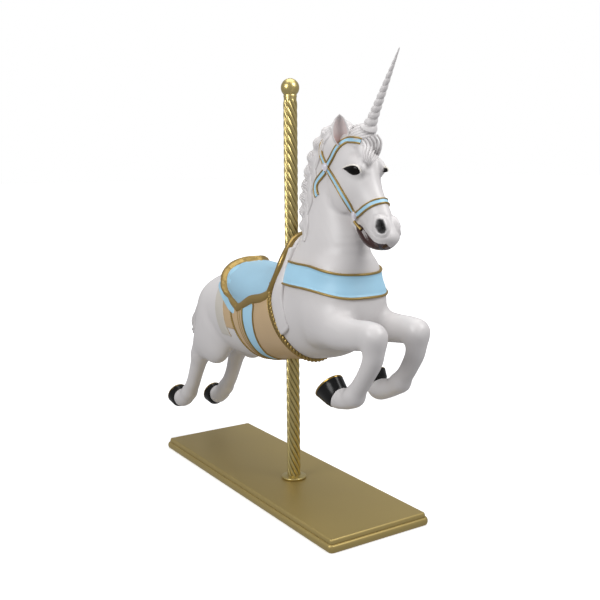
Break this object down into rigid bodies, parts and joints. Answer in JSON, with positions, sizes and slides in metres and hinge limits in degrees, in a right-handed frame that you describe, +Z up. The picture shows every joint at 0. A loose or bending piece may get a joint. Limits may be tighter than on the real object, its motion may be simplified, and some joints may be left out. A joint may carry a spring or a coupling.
{
  "type": "carousel unicorn",
  "caption": "Leaping white carousel unicorn with sky-blue and gold tack, on a twisted gold pole that stands on a gold board plinth",
  "frame": {"origin": "on the underside of the plinth, on the pole's axis", "axes": "+X towards the unicorn's nose, +Y to its left, +Z up along the pole"},
  "size_m": [1.5879, 0.4292, 1.6117],
  "materials": {
    "white_paint": "satin white paint on moulded glass fibre",
    "pole_gold": "satin gold paint",
    "plinth_gold": "satin bronze-gold paint",
    "sky_blue_paint": "gloss paint",
    "tack_gold": "satin gold paint",
    "tan_paint": "satin paint",
    "black_paint": "gloss paint"
  },
  "bodies": {
    "root": {"plinth": "plinth_gold", "collar": "pole_gold", "pole": "pole_gold", "ball": "pole_gold", "unicorn": "white_paint"}
  },
  "joints": []
}
